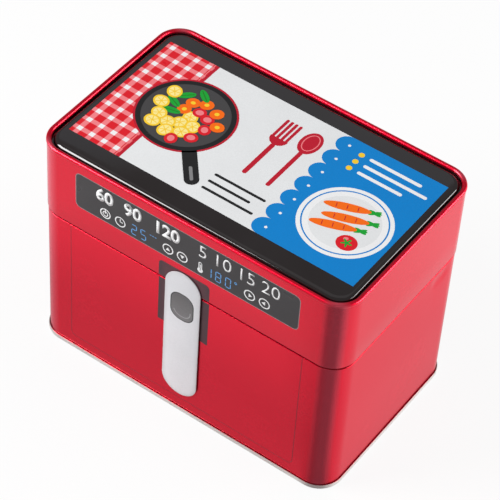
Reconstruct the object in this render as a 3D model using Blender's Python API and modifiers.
"""A tinplate recipe box: a body on a rolled base bead, a deep lid on a wire hinge, cards and dividers inside.

Lengths are in metres. The box stands on z = 0 with its front towards -Y.
"""

import math

import bmesh
import bpy
from mathutils import Vector

mm = 0.001

# Outer sizes that the cards don't set
lid_depth = 105 * mm
lid_corner_radius = 12.5 * mm
seam_height = 85.5 * mm

# Sheet metal
sheet = 0.3 * mm
gap = 0.3 * mm
hem_radius = 0.5 * mm
hem_return = 3.5 * mm
bend_radius = 0.6 * mm

# Body wall and the neck that the lid slips over
lid_overhang = 0.35 * mm
neck_height = 8 * mm
neck_clearance = 0.7 * mm

# Base panel and its bead
bead_height = 2.4 * mm
bead_bulge = 0.2 * mm
bead_foot_radius = 0.6 * mm
base_step = 0.6 * mm
base_step_inset = 6 * mm

# Rolled rim and the black top panel
rim_radius = 1.25 * mm
rim_proud = 0.3 * mm
rim_start_degrees = -40.5
rim_end_degrees = 240
channel_depth = 2.7 * mm
channel_width = 1.2 * mm
plateau_drop = 0.4 * mm
plateau_edge_radius = 1.2 * mm
panel_hook_height = 1.3 * mm
channel_bend_radius = 0.4 * mm

# Wire hinge
wire_radius = 0.8 * mm
knuckle_length = 16 * mm
knuckle_count = 5
knuckle_wrap_degrees = 300
leaf_height = 5 * mm
leaf_joggle = 0.35 * mm
wire_head_radius = 1.3 * mm
wire_head_length = 0.6 * mm

# Handle plate on the front
handle_width = 20 * mm
handle_thickness = 0.4 * mm
handle_foot_height = 12.5 * mm
handle_lap = 9.8 * mm

# Cards and dividers, and the room round them that sets the lid's width and the box's height
card_width = 152.4 * mm
card_height = 101.6 * mm
card_side_room = 6.6 * mm
tab_top_room = 9.3 * mm
card_pitch = 0.55 * mm
recipe_cards_per_section = (15, 15, 14, 14, 14)
blank_card_count = 28
divider_thickness = 0.6 * mm
tab_height = 10 * mm
tab_width = 27 * mm
tab_corner_radius = 3 * mm
section_gap = 0.8 * mm

corner_steps = 6
degrees_per_step = 22.5
wire_sides = 12
cut_overrun = 1 * mm
merge_distance = 0.01 * mm

red = (0.60, 0.025, 0.05)
black = (0.02, 0.02, 0.022)
tinplate = (0.62, 0.62, 0.60)
pale_grey = (0.70, 0.70, 0.72)
card_white = (0.85, 0.84, 0.80)
tab_colours = (
    (0.02, 0.42, 0.06),
    (0.95, 0.25, 0.01),
    (0.80, 0.50, 0.03),
    (0.02, 0.22, 0.62),
    (0.55, 0.03, 0.05),
)

# Places worked out from the sizes above
hem_width = 2 * hem_radius
half_width = card_width / 2 + card_side_room + neck_clearance + 2 * hem_width
half_depth = lid_depth / 2
floor_height = bead_height + base_step + sheet
card_floor = floor_height + gap
total_height = card_floor + card_height + tab_height + tab_top_room + sheet + channel_depth
knuckle_bore_radius = wire_radius + gap
knuckle_radius = knuckle_bore_radius + sheet
knuckle_pitch = knuckle_length + 2 * gap
hinge_length = knuckle_count * knuckle_pitch - 2 * gap
hinge_y = half_depth + gap + knuckle_radius
handle_back_y = -half_depth - gap
front_reach = gap + handle_thickness
back_reach = gap + 2 * knuckle_radius
centre_shift = (front_reach - back_reach) / 2
wall_offset = -lid_overhang
neck_offset = -hem_width - neck_clearance
neck_inner_radius = lid_corner_radius + neck_offset - hem_width
corner_reach = max(0, card_width / 2 - (half_width - lid_corner_radius))
card_back_y = half_depth - lid_corner_radius + math.sqrt(max(0, neck_inner_radius**2 - corner_reach**2)) - gap


def new_collection(name, hidden):
    collection = bpy.data.collections.new(name)
    bpy.context.scene.collection.children.link(collection)
    collection.hide_render = hidden
    return collection


def material(name, colour, roughness, metallic):
    made = bpy.data.materials.new(name)
    made.use_nodes = True
    shader = made.node_tree.nodes["Principled BSDF"]
    shader.inputs["Base Color"].default_value = (*colour, 1)
    shader.inputs["Roughness"].default_value = roughness
    shader.inputs["Metallic"].default_value = metallic
    return made


def empty(name, place, parent=None):
    made = bpy.data.objects.new(name, None)
    made.location = place
    made.parent = parent
    parts.objects.link(made)
    return made


def add_object(name, data, look, parent, offset=(0, 0, 0), collection=None):
    """Links an object whose data is in the box's frame and hangs it on the parent empty."""
    made = bpy.data.objects.new(name, data)
    (collection or parts).objects.link(made)
    made.parent = parent
    made.location = Vector(offset) - (parent.location if parent is not box_frame else Vector())
    if look:
        data.materials.append(look)
    return made


def mesh_from(bm, name):
    mesh = bpy.data.meshes.new(name)
    bm.to_mesh(mesh)
    bm.free()
    mesh.shade_smooth()
    mesh.set_sharp_from_angle(angle=math.radians(40))
    return mesh


def arc(centre, radius, start, end):
    """Points of an arc in (offset, height), its angles in degrees from the outward direction."""
    steps = max(2, math.ceil(abs(end - start) / degrees_per_step))
    angles = [math.radians(start + (end - start) * step / steps) for step in range(steps + 1)]
    return [(centre[0] + radius * math.cos(a), centre[1] + radius * math.sin(a)) for a in angles]


def outline_point(index, offset, height):
    """Point number index of the lid's rounded outline, moved outwards by offset."""
    per_corner = corner_steps + 1
    corner, step = divmod(index, per_corner)
    angle = math.radians(90 * (corner + step / corner_steps) - 90)
    side_x = 1 if corner in (0, 1) else -1
    side_y = 1 if corner in (1, 2) else -1
    radius = lid_corner_radius + offset
    x = side_x * (half_width - lid_corner_radius) + radius * math.cos(angle)
    y = side_y * (half_depth - lid_corner_radius) + radius * math.sin(angle)
    return x, y, height


def swept_shell(name, profile, closed_end=None):
    """A sheet whose painted side follows the profile round the outline, thickened away from that side.

    The painted side is on the right of the profile's direction of travel.
    """
    bm = bmesh.new()
    count = 4 * (corner_steps + 1)
    ring = bmesh.ops.create_circle(bm, segments=count, radius=half_depth)["verts"]
    rings = [ring]
    for _ in profile[1:]:
        edges = [e for e in bm.edges if e.verts[0] in ring and e.verts[1] in ring]
        made = bmesh.ops.extrude_edge_only(bm, edges=edges)["geom"]
        after = {e.other_vert(v): v for v in made if isinstance(v, bmesh.types.BMVert)
                 for e in v.link_edges if e.other_vert(v) in ring}
        ring = [after[v] for v in ring]
        rings.append(ring)
    for ring, (offset, height) in zip(rings, profile):
        for index, vert in enumerate(ring):
            vert.co = outline_point(index, offset, height)
    if closed_end == "first":
        bmesh.ops.contextual_create(bm, geom=rings[0])
    if closed_end == "last":
        bmesh.ops.contextual_create(bm, geom=rings[-1])
    bmesh.ops.recalc_face_normals(bm, faces=bm.faces)
    side = next(f for f in rings[0][0].link_faces if rings[1][0] in f.verts and rings[0][1] in f.verts)
    run, rise = profile[1][0] - profile[0][0], profile[1][1] - profile[0][1]
    across = (Vector(rings[0][0].co).xy - Vector(rings[0][1].co).xy).orthogonal().normalized()
    outward = across if across.dot(Vector(rings[0][0].co).xy) > 0 else -across
    painted = Vector((outward.x * rise, outward.y * rise, -run))
    if side.normal.dot(painted) < 0:
        bmesh.ops.reverse_faces(bm, faces=bm.faces)
    return mesh_from(bm, name)


def thicken(obj, offset=-1):
    solid = obj.modifiers.new("Sheet", "SOLIDIFY")
    solid.thickness = sheet
    solid.offset = offset
    solid.use_even_offset = True
    solid.use_quality_normals = True


def box_mesh(name, low, high):
    bm = bmesh.new()
    bmesh.ops.create_cube(bm, size=1)
    for vert in bm.verts:
        vert.co = [a + (b - a) * (c + 0.5) for a, b, c in zip(low, high, vert.co)]
    return mesh_from(bm, name)


def cut_boxes(obj, boxes, parent):
    """Cuts the boxes, each given by two corners, out of the object."""
    for number, (low, high) in enumerate(boxes, 1):
        name = f"{obj.name}_cut_{number}"
        cutter = add_object(name, box_mesh(name, low, high), None, parent, collection=cutters)
        cutter.hide_render = True
        cutter.display_type = "WIRE"
        cut = obj.modifiers.new(name, "BOOLEAN")
        cut.operation = "DIFFERENCE"
        cut.object = cutter


def curve_from(name, points, half_thickness):
    """A flat outline in X and Z, given a thickness along Y."""
    curve = bpy.data.curves.new(name, "CURVE")
    curve.dimensions = "2D"
    curve.fill_mode = "BOTH"
    curve.extrude = half_thickness
    spline = curve.splines.new("POLY")
    spline.points.add(len(points) - 1)
    for point, (x, z) in zip(spline.points, points):
        point.co = (x, z, 0, 1)
    spline.use_cyclic_u = True
    return curve


def upright(obj):
    obj.rotation_euler = (math.radians(90), 0, 0)


def rounded_top(left, right, foot, top, radius):
    """An upright outline whose two upper corners are arcs."""
    right_arc = arc((right - radius, top - radius), radius, 0, 90)
    left_arc = arc((left + radius, top - radius), radius, 90, 180)
    return [(left, foot), (right, foot), *right_arc, *left_arc]


def make_base_panel(look):
    inner_leg = wall_offset - sheet - gap - sheet
    outer_leg = wall_offset + gap + sheet
    bulge = outer_leg + bead_bulge
    foot = bead_foot_radius
    step_outer = inner_leg - base_step_inset
    step_inner = step_outer - base_step
    profile = [(step_inner, bead_height + base_step), (step_outer, bead_height)]
    profile += reversed(arc((inner_leg - foot, bead_height - foot), foot, 0, 90))
    profile += arc((inner_leg + foot, foot), foot, 180, 270)
    profile += arc((bulge - foot, foot), foot, 270, 360)
    profile += [(bulge, bead_height / 2), (outer_leg, bead_height)]
    panel = add_object("base_panel", swept_shell("base_panel", profile, "first"), look, box_frame)
    thicken(panel)


def make_body_wall(look):
    foot = sheet + gap
    shoulder_top = seam_height - gap
    shoulder = (wall_offset - bend_radius, shoulder_top - bend_radius)
    neck_foot = (neck_offset + sheet, shoulder_top + sheet)
    neck_top = seam_height + neck_height
    hem = (neck_offset - hem_radius, neck_top - hem_radius)
    profile = [(wall_offset, foot)]
    profile += arc(shoulder, bend_radius, 0, 90)
    profile += reversed(arc(neck_foot, sheet, 180, 270))
    profile += arc(hem, hem_radius, 0, 180)
    profile += [(neck_offset - hem_width, neck_top - hem_return)]
    wall = add_object("body_wall", swept_shell("body_wall", profile), look, box_frame)
    thicken(wall)


def make_lid_wall(look):
    hem = (-hem_radius, seam_height + hem_radius)
    rim = (rim_proud - rim_radius, total_height - rim_radius)
    profile = [(-hem_width, seam_height + hem_return)]
    profile += arc(hem, hem_radius, 180, 360)
    profile += arc(rim, rim_radius, rim_start_degrees, rim_end_degrees)
    wall = add_object("lid_wall", swept_shell("lid_wall", profile), look, lid_hinge)
    thicken(wall)


def make_lid_panel(look):
    rim_centre = rim_proud - rim_radius
    hook = rim_centre - sheet / 2
    floor = total_height - channel_depth
    riser = rim_centre - rim_radius - channel_width
    plateau = total_height - plateau_drop
    bend = channel_bend_radius
    edge = plateau_edge_radius
    profile = [(hook, floor + panel_hook_height)]
    profile += arc((hook - bend, floor + bend), bend, 0, -90)
    profile += reversed(arc((riser + bend, floor + bend), bend, 180, 270))
    profile += arc((riser - edge, plateau - edge), edge, 0, 90)
    panel = add_object("lid_panel", swept_shell("lid_panel", profile, "last"), look, lid_hinge)
    thicken(panel)


def leaf_mesh(name, profile):
    """A stamped leaf: the profile in (y, z) drawn along the hinge's length."""
    bm = bmesh.new()
    verts = [bm.verts.new((-hinge_length / 2, y, z)) for y, z in profile]
    edges = [bm.edges.new(pair) for pair in zip(verts, verts[1:])]
    made = bmesh.ops.extrude_edge_only(bm, edges=edges)["geom"]
    moved = [v for v in made if isinstance(v, bmesh.types.BMVert)]
    bmesh.ops.translate(bm, verts=moved, vec=(hinge_length, 0, 0))
    bmesh.ops.recalc_face_normals(bm, faces=bm.faces)
    return mesh_from(bm, name)


def knuckle_slots(remainder, z_low, z_high):
    """Boxes over the knuckle places whose number leaves this remainder when halved."""
    boxes = []
    for number in range(knuckle_count):
        if number % 2 != remainder:
            continue
        left = -hinge_length / 2 + number * knuckle_pitch - 2 * gap
        right = left + knuckle_length + 4 * gap
        boxes.append(((left, half_depth, z_low), (right, half_depth + 2 * back_reach, z_high)))
    return boxes


def make_hinge_leaves(red_look):
    middle = knuckle_bore_radius + sheet / 2
    leaf_y = hinge_y - middle
    axis = (hinge_y, seam_height)
    slot = knuckle_radius + gap
    lid_profile = [(leaf_y, seam_height + leaf_height)]
    lid_profile += arc(axis, middle, 180, 180 + knuckle_wrap_degrees)
    lid_leaf = add_object("lid_hinge_leaf", leaf_mesh("lid_hinge_leaf", lid_profile), red_look, lid_hinge)
    thicken(lid_leaf, 0)
    below = seam_height - knuckle_radius - cut_overrun
    cut_boxes(lid_leaf, knuckle_slots(0, below, seam_height + slot), lid_hinge)

    joggle_top = seam_height - knuckle_radius
    body_profile = [
        (leaf_y - leaf_joggle, seam_height - leaf_height - leaf_joggle),
        (leaf_y - leaf_joggle, joggle_top - 2 * leaf_joggle),
        (leaf_y, joggle_top),
    ]
    body_profile += arc(axis, middle, 180, 180 - knuckle_wrap_degrees)
    body_leaf = add_object("body_hinge_leaf", leaf_mesh("body_hinge_leaf", body_profile), red_look, box_frame)
    thicken(body_leaf, 0)
    above = seam_height + knuckle_radius + cut_overrun
    cut_boxes(body_leaf, knuckle_slots(1, seam_height - slot, above), box_frame)


def make_hinge_wire(look):
    """A headed pin, turned about the hinge axis."""
    end = hinge_length / 2 + gap
    outer = end + wire_head_length
    profile = [(-outer, 0), (-outer, wire_head_radius), (-end, wire_head_radius), (-end, wire_radius)]
    profile += [(-x, radius) for x, radius in reversed(profile)]
    bm = bmesh.new()
    verts = [bm.verts.new((x, radius, 0)) for x, radius in profile]
    for pair in zip(verts, verts[1:]):
        bm.edges.new(pair)
    wire = add_object("hinge_wire", mesh_from(bm, "hinge_wire"), look, box_frame, (0, hinge_y, seam_height))
    turn = wire.modifiers.new("Turn", "SCREW")
    turn.axis = "X"
    turn.steps = wire_sides
    turn.render_steps = wire_sides
    turn.use_merge_vertices = True
    turn.merge_threshold = merge_distance
    turn.use_normal_flip = True


def make_handle_plate(look):
    radius = handle_width / 2
    top = seam_height + handle_lap
    points = arc((0, top - radius), radius, 0, 180) + arc((0, handle_foot_height + radius), radius, 180, 360)
    curve = curve_from("handle_plate", points, handle_thickness / 2)
    plate = add_object("handle_plate", curve, look, box_frame, (0, handle_back_y - handle_thickness / 2, 0))
    upright(plate)


def make_card_pack(name, count, front_y, look, parent):
    low = (-card_width / 2, front_y, card_floor)
    high = (card_width / 2, front_y + count * card_pitch, card_floor + card_height)
    add_object(name, box_mesh(name, low, high), look, parent)


def make_divider(number, front_y, look, parent):
    """A card with a tab on its top edge, each tab further to the right than the last."""
    sections = len(recipe_cards_per_section)
    travel = (card_width - tab_width) / (sections - 1)
    left = -card_width / 2 + (number - 1) * travel
    card_top = card_floor + card_height
    tab = rounded_top(left, left + tab_width, card_top, card_top + tab_height, tab_corner_radius)
    right_part = [(card_width / 2, card_floor), (card_width / 2, card_top)]
    left_part = [(-card_width / 2, card_top), (-card_width / 2, card_floor)]
    if number == sections:
        right_part = right_part[:1]
        tab = tab[2:] + tab[:1]
    else:
        tab = tab[1:] + tab[:1]
    if number == 1:
        left_part = left_part[1:]
        tab = tab[:-1]
    curve = curve_from(f"section_divider_{number}", right_part + tab + left_part, divider_thickness / 2)
    place = (0, front_y + divider_thickness / 2, 0)
    upright(add_object(f"section_divider_{number}", curve, look, parent, place))


def make_sections(card_look):
    """Fills the box from the back: each section turns about its own front lower edge."""
    front_y = card_back_y - blank_card_count * card_pitch
    pivot = empty("blank_section_pivot", (0, front_y, card_floor), box_frame)
    make_card_pack("blank_cards", blank_card_count, front_y, card_look, pivot)
    for number in range(len(recipe_cards_per_section), 0, -1):
        count = recipe_cards_per_section[number - 1]
        front_y -= section_gap + count * card_pitch + gap + divider_thickness
        pivot = empty(f"section_{number}_pivot", (0, front_y, card_floor), box_frame)
        look = material(f"divider_colour_{number}", tab_colours[number - 1], 0.6, 0)
        make_divider(number, front_y, look, pivot)
        cards_y = front_y + divider_thickness + gap
        make_card_pack(f"recipe_cards_{number}", count, cards_y, card_look, pivot)


for old in list(bpy.data.objects):
    bpy.data.objects.remove(old)
parts = new_collection("recipe_box", hidden=False)
cutters = new_collection("cutters", hidden=True)
box_frame = empty("box_frame", (0, centre_shift, 0))
lid_hinge = empty("lid_hinge_axis", (0, hinge_y, seam_height), box_frame)

red_lacquer = material("red_lacquer", red, 0.35, 0.5)
black_gloss = material("black_gloss", black, 0.12, 0)
bare_tin = material("bare_tinplate", tinplate, 0.3, 1)
pale_lacquer = material("pale_lacquer", pale_grey, 0.4, 0)
card_stock = material("card_stock", card_white, 0.7, 0)

make_base_panel(bare_tin)
make_body_wall(red_lacquer)
make_lid_wall(red_lacquer)
make_lid_panel(black_gloss)
make_hinge_leaves(red_lacquer)
make_hinge_wire(bare_tin)
make_handle_plate(pale_lacquer)
make_sections(card_stock)
